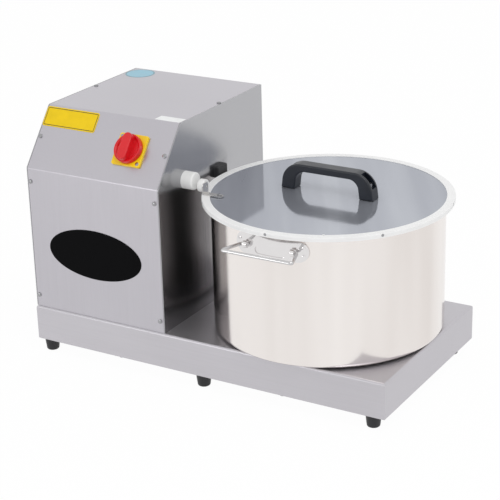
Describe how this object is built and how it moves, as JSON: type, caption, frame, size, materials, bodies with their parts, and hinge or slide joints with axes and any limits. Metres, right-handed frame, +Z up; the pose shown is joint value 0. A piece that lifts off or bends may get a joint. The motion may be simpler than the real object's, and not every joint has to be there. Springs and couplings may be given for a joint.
{
  "type": "food chopper",
  "caption": "Table-top bowl chopper: steel base with a motor tower and switch, and a round cutting bowl with lift-out knives, fold-down bails and a lid with a bridge handle.",
  "frame": {"origin": "centre of the whole object's box, on the floor under the feet", "axes": "+X from the motor tower to the bowl (the long way), +Y from the front to the back, +Z up"},
  "size_m": [0.72, 0.4948, 0.4514],
  "materials": {
    "base_steel": "satin sheet",
    "tower_steel": "fine-grained satin sheet",
    "polished_steel": "polished",
    "lid_steel": "mirror polished",
    "white_plastic": "fine matt",
    "black_plastic": "satin",
    "dark_plastic": "matt",
    "black_rubber": "matt",
    "badge_black": "printed gloss film",
    "yellow_plastic": "gloss",
    "yellow_film": "printed film",
    "red_plastic": "gloss",
    "fastener_steel": "bright zinc or stainless",
    "cast_metal": "as cast, grey paint",
    "drive_steel": "turned",
    "belt_rubber": "matt"
  },
  "bodies": {
    "machine": {"base_tray": "base_steel", "bottom_cover": "base_steel", "bottom_screws": "fastener_steel", "rubber_feet": "black_rubber", "foot_studs": "fastener_steel", "housing_cover": "tower_steel", "side_panel_left": "tower_steel", "side_panel_right": "tower_steel", "back_panel": "tower_steel", "housing_screws": "fastener_steel", "panel_bolts": "fastener_steel", "oval_badge": "badge_black", "yellow_label": "yellow_film", "switch_plate": "yellow_plastic", "switch_body": "dark_plastic", "switch_screws": "fastener_steel", "sensor_body": "white_plastic", "sensor_nut": "fastener_steel", "rim_buffer": "black_rubber", "cable_gland": "dark_plastic", "contactor": "dark_plastic", "motor_housing": "cast_metal", "motor_flange": "cast_metal", "motor_fan_cover": "cast_metal", "terminal_box": "dark_plastic", "motor_plate": "cast_metal", "motor_bolts": "fastener_steel", "drive_belt": "belt_rubber", "bearing_housing": "cast_metal", "spindle_bearings": "drive_steel", "seat_bolts": "fastener_steel", "shaft_seal": "black_rubber", "bowl_seat": "polished_steel"},
    "knob": {"switch_knob": "red_plastic", "switch_shaft": "fastener_steel"},
    "rotor": {"motor_rotor": "drive_steel", "motor_fan": "black_plastic", "motor_pulley": "cast_metal"},
    "spindle": {"spindle": "drive_steel", "spindle_pulley": "cast_metal", "pulley_nut": "fastener_steel"},
    "bowl": {"bowl_shell": "polished_steel", "bowl_rim": "polished_steel", "bowl_chimney": "polished_steel", "handle_plate_front": "polished_steel", "handle_plate_back": "polished_steel", "handle_rivets": "fastener_steel"},
    "bail_front": {"bail_front": "polished_steel"},
    "bail_back": {"bail_back": "polished_steel"},
    "knives": {"knife_hub": "polished_steel", "knife_lower": "polished_steel", "knife_upper": "polished_steel", "knife_spacer": "polished_steel", "knife_nut": "polished_steel"},
    "lid": {"lid_disc": "lid_steel", "lid_ring": "white_plastic", "lid_handle": "black_plastic", "lid_screws": "fastener_steel", "magnet_bracket": "polished_steel", "magnet_holder": "white_plastic"}
  },
  "joints": [
    {"name": "knob_turn", "type": "hinge", "parent": "machine", "child": "knob", "pos_m": [-0.161, -0.1378, 0.401], "axis": [0, -0.7864, 0.6177], "range_deg": [-90, 0]},
    {"name": "rotor_spin", "type": "hinge", "parent": "machine", "child": "rotor", "pos_m": [-0.2215, 0, 0.2], "axis": [0, 0, 1], "continuous": true},
    {"name": "spindle_spin", "type": "hinge", "parent": "machine", "child": "spindle", "pos_m": [0.145, 0, 0.1], "axis": [0, 0, 1], "continuous": true},
    {"name": "bowl_lift", "type": "slide", "parent": "machine", "child": "bowl", "axis": [0, 0, 1], "range_m": [0, 0.25]},
    {"name": "knives_spin", "type": "hinge", "parent": "bowl", "child": "knives", "pos_m": [0.145, 0, 0.2], "axis": [0, 0, 1], "continuous": true},
    {"name": "lid_lift", "type": "slide", "parent": "bowl", "child": "lid", "axis": [0, 0, 1], "range_m": [0, 0.2]},
    {"name": "bail_front_fold", "type": "hinge", "parent": "bowl", "child": "bail_front", "pos_m": [0.145, -0.20302, 0.299], "axis": [1, 0, 0], "range_deg": [0, 80]},
    {"name": "bail_back_fold", "type": "hinge", "parent": "bowl", "child": "bail_back", "pos_m": [0.145, 0.20302, 0.299], "axis": [-1, 0, 0], "range_deg": [0, 80]}
  ],
  "couplings": [
    {"joint": "spindle_spin", "follows": "rotor_spin", "ratio": 0.81818},
    {"joint": "knives_spin", "follows": "rotor_spin", "ratio": 0.81818}
  ]
}
